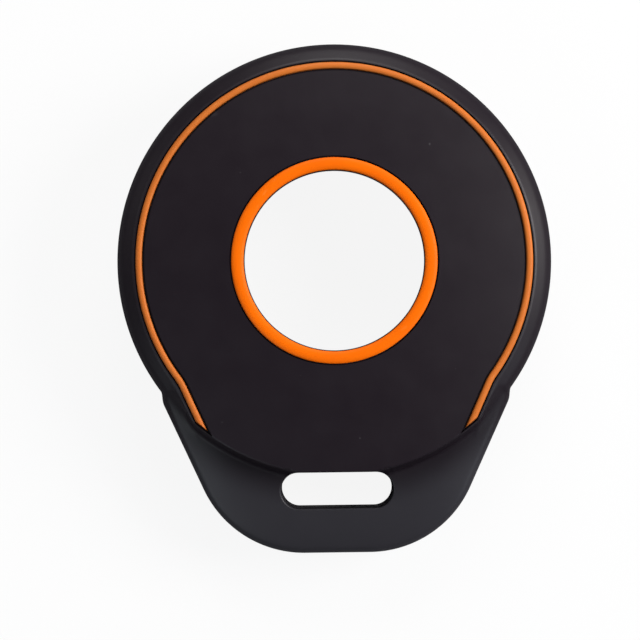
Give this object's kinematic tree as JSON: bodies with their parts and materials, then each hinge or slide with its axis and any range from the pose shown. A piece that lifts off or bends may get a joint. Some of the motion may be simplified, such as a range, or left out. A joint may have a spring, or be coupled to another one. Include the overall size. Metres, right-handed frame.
{
  "type": "key fob cover",
  "caption": "Soft silicone cover for a round-headed key fob: hollow domed head with a ringed window, a lower tail with a key ring slot and an accent line round the face",
  "frame": {"origin": "Centre of the bounding box's base: the plane the cover's back lies on. The window's axis crosses it at y = +4.75 mm.", "axes": "Lying on its back: +Z is out of the front face, +Y runs from the tail to the top of the head, +X is to the right seen from in front."},
  "size_m": [0.054, 0.0636, 0.0161],
  "materials": {
    "cover_body": "matte moulded silicone",
    "window_ring": "matte moulded silicone",
    "accent_line": "matte moulded silicone"
  },
  "bodies": {
    "root": {"cover_body": "cover_body", "window_ring": "window_ring", "accent_line": "accent_line"}
  },
  "joints": []
}
